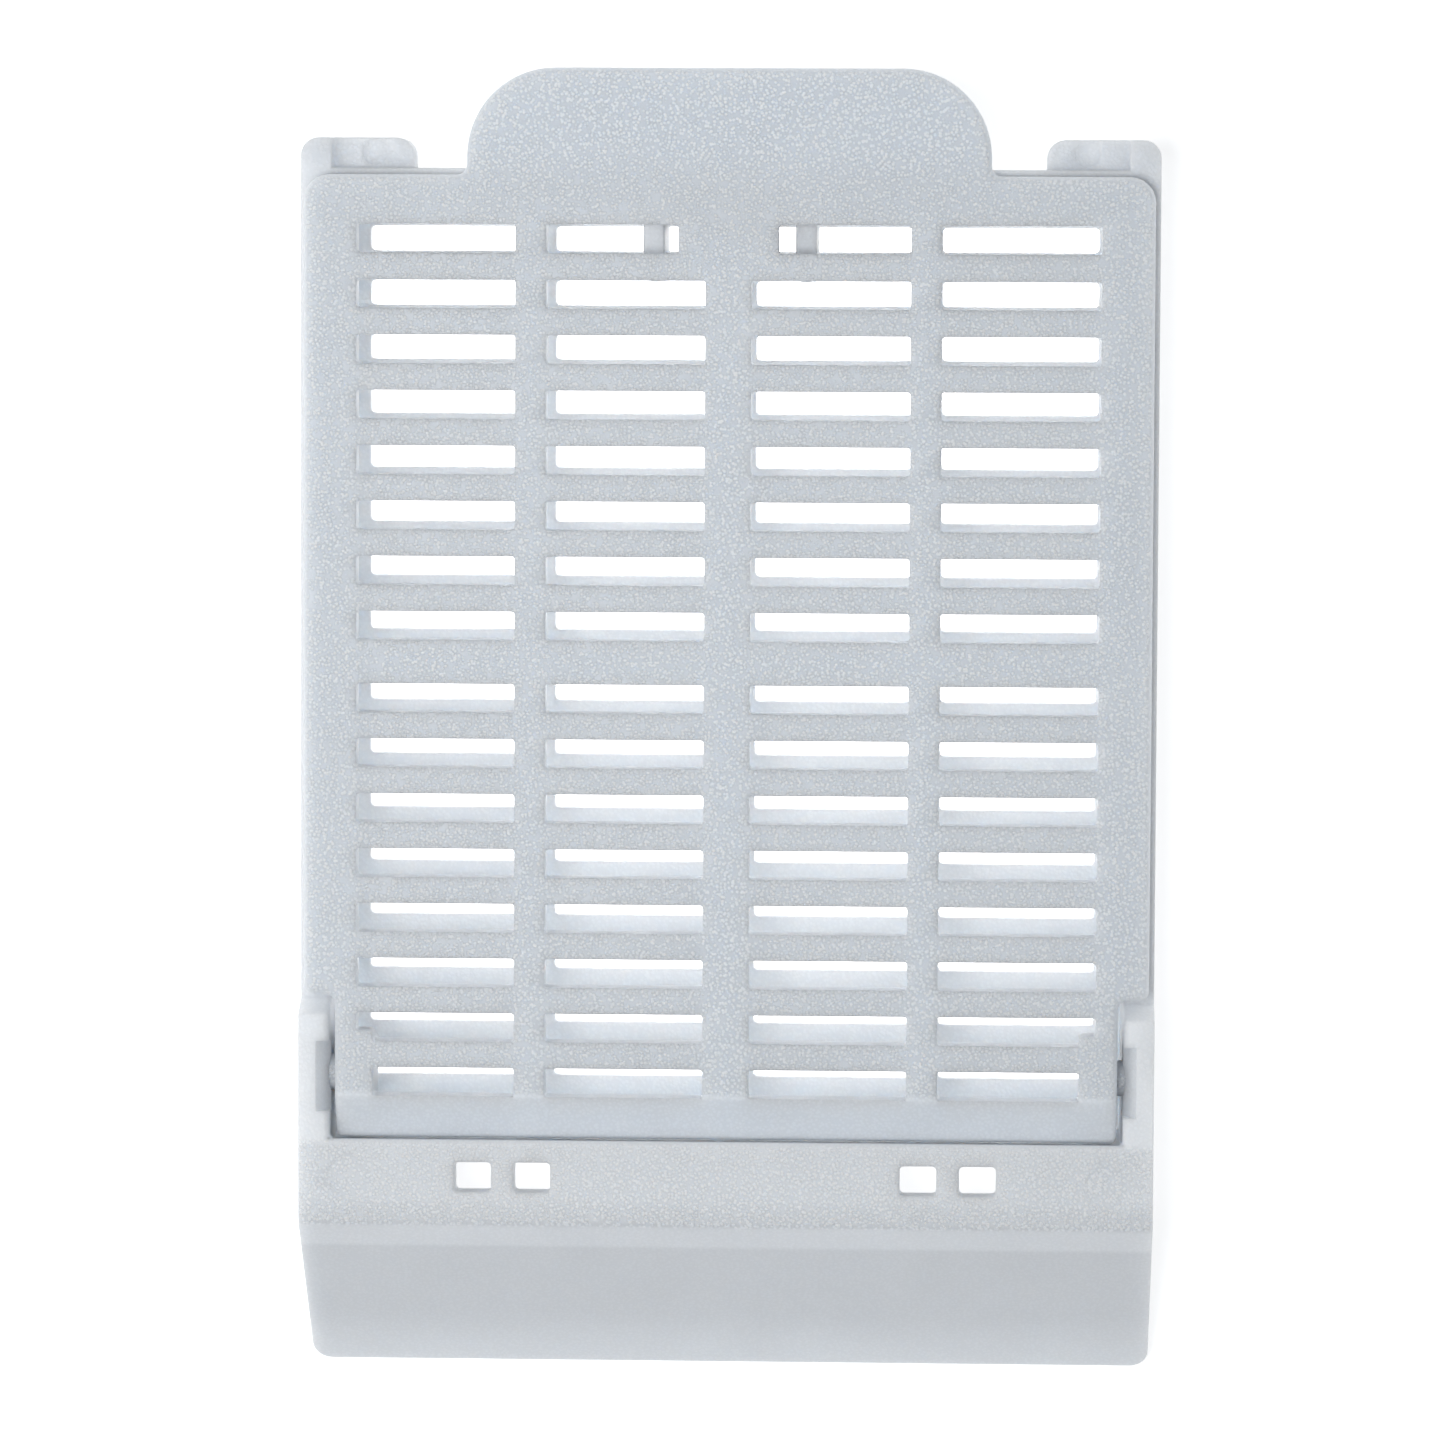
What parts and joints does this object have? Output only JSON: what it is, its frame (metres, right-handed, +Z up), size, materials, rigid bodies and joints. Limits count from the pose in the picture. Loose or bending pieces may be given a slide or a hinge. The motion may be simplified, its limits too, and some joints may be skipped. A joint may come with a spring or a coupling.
{
  "type": "tissue processing cassette",
  "caption": "Small moulded plastic processing cassette with a slotted tray, a slotted snap lid on a front pivot, a thumb tab and a sloped writing panel.",
  "frame": {"origin": "centre of the overall footprint, on the plane that the tray rests on", "axes": "+Z up through the closed lid, +Y from the writing panel to the thumb tab, +X across, along the pivot"},
  "size_m": [0.0286, 0.044, 0.0064],
  "materials": {
    "base_plastic": "natural white acetal, slightly translucent, smooth satin walls with a fine spark-textured ledge",
    "lid_plastic": "natural white acetal, slightly translucent, spark-textured top"
  },
  "bodies": {
    "base": {"base": "base_plastic"},
    "lid": {"lid": "lid_plastic"}
  },
  "joints": [
    {"name": "lid_hinge", "type": "hinge", "parent": "base", "child": "lid", "pos_m": [0, -0.01155, 0.0049], "axis": [1, 0, 0], "range_deg": [0, 105]}
  ]
}
